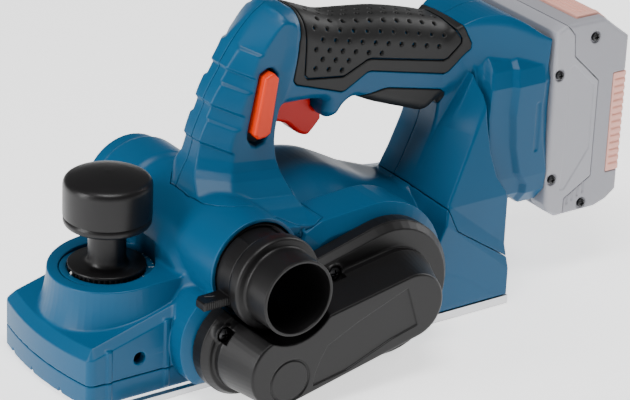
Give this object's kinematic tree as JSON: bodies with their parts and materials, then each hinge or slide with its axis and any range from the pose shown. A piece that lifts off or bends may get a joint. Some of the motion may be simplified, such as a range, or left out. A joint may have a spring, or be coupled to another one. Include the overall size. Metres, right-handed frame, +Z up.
{
  "type": "cordless hand planer",
  "caption": "Cordless hand planer with a closed D handle, depth knob, round side chip outlet, belt drive cover and slide-on battery.",
  "frame": {"origin": "on the flat underside of the rear sole, in the middle of the planing width, 109.5 mm behind the cutter drum's axis", "axes": "+X runs from the front knob to the battery, +Y is the side away from the belt cover, +Z is up, away from the sole"},
  "size_m": [0.3486, 0.164, 0.1827],
  "materials": {
    "blue_plastic": "satin, lightly grained, mid blue",
    "black_plastic": "satin black, lightly grained",
    "black_rubber": "dimpled soft grip, black",
    "red_plastic": "semi-gloss red",
    "orange_plastic": "semi-gloss orange-red",
    "light_alloy": "machined light alloy",
    "steel": "plain machined steel",
    "copper": "copper windings and segments",
    "pale_grey_plastic": "satin pale grey",
    "salmon_plastic": "satin pale salmon"
  },
  "bodies": {
    "root": {"main_housing": "blue_plastic", "handle_left": "blue_plastic", "handle_right": "blue_plastic", "rear_sole": "light_alloy", "grip_pad": "black_rubber", "grip_underside": "black_rubber", "belt_cover": "black_plastic", "cover_screw_front": "steel", "cover_screw_rear": "steel", "drive_belt": "black_rubber", "motor_can": "steel", "brush_holder": "black_plastic", "brush_upper": "black_plastic", "brush_lower": "black_plastic", "motor_bearing_left": "steel", "motor_bearing_right": "steel", "drum_bearing_left": "steel", "drum_bearing_right": "steel", "chip_duct": "black_plastic", "scale_ring": "blue_plastic", "switch_body": "black_plastic", "electronics_module": "black_plastic", "battery_terminal": "black_plastic", "case_screw_1": "steel", "case_screw_2": "steel", "case_screw_3": "steel", "sole_screw_1": "steel", "sole_screw_2": "steel", "sole_screw_3": "steel", "shoe_spring": "steel"},
    "drum": {"drum_body": "light_alloy", "drum_pulley": "light_alloy", "blade": "steel", "blade_clamp": "light_alloy", "clamp_screw_1": "steel", "clamp_screw_2": "steel", "clamp_screw_3": "steel"},
    "armature": {"armature_shaft": "steel", "armature_core": "copper", "commutator": "copper", "cooling_fan": "black_plastic", "motor_pulley": "steel"},
    "depth_knob": {"knob_cap": "black_plastic", "knob_stem": "black_plastic", "depth_spindle": "steel"},
    "front_shoe": {"front_shoe": "light_alloy", "shoe_skirt": "blue_plastic"},
    "chip_deflector": {"chip_deflector": "black_plastic"},
    "chip_tube": {"chip_tube": "black_plastic"},
    "trigger": {"trigger": "red_plastic"},
    "lock_button": {"lock_button": "orange_plastic"},
    "battery": {"pack_shell_front": "pale_grey_plastic", "pack_shell_back": "pale_grey_plastic", "pack_strip_left": "salmon_plastic", "pack_strip_right": "salmon_plastic", "cell_pack": "pale_grey_plastic"},
    "battery_release": {"battery_release": "salmon_plastic"}
  },
  "joints": [
    {"name": "knob_turn", "type": "hinge", "parent": "root", "child": "depth_knob", "pos_m": [-0.1516, 0, 0.0577], "axis": [0, 0, -1], "range_deg": [0, 288]},
    {"name": "shoe_slide", "type": "slide", "parent": "root", "child": "front_shoe", "axis": [0, 0, -1], "range_m": [0, 0.0016], "deforming": ["shoe_spring"]},
    {"name": "drum_spin", "type": "hinge", "parent": "root", "child": "drum", "pos_m": [-0.1095, 0, 0.0274], "axis": [0, 1, 0], "continuous": true},
    {"name": "motor_spin", "type": "hinge", "parent": "root", "child": "armature", "pos_m": [-0.022, 0, 0.0382], "axis": [0, 1, 0], "continuous": true},
    {"name": "deflector_turn", "type": "hinge", "parent": "root", "child": "chip_deflector", "pos_m": [-0.1005, -0.0583, 0.0664], "axis": [0, 1, 0], "range_deg": [0, 50]},
    {"name": "tube_slide", "type": "slide", "parent": "root", "child": "chip_tube", "axis": [0, -1, 0], "range_m": [0, 0.045]},
    {"name": "trigger_pull", "type": "hinge", "parent": "root", "child": "trigger", "pos_m": [-0.0535, 0, 0.1295], "axis": [0, -1, 0], "range_deg": [0, 9], "stiffness_Nm_per_rad": 0.5, "springref_deg": -11.46},
    {"name": "lock_press", "type": "slide", "parent": "root", "child": "lock_button", "axis": [0, 1, 0], "range_m": [0, 0.004], "stiffness_N_per_m": 600, "springref_m": -0.002},
    {"name": "battery_slide", "type": "slide", "parent": "root", "child": "battery", "axis": [0, 0, 1], "range_m": [0, 0.09]},
    {"name": "release_press", "type": "slide", "parent": "battery", "child": "battery_release", "axis": [0, 0, -1], "range_m": [0, 0.0025], "stiffness_N_per_m": 1200, "springref_m": -0.001}
  ],
  "couplings": [
    {"joint": "shoe_slide", "follows": "knob_turn", "m_per_rad": 0.0003183},
    {"joint": "motor_spin", "follows": "drum_spin", "ratio": 1.3333}
  ]
}
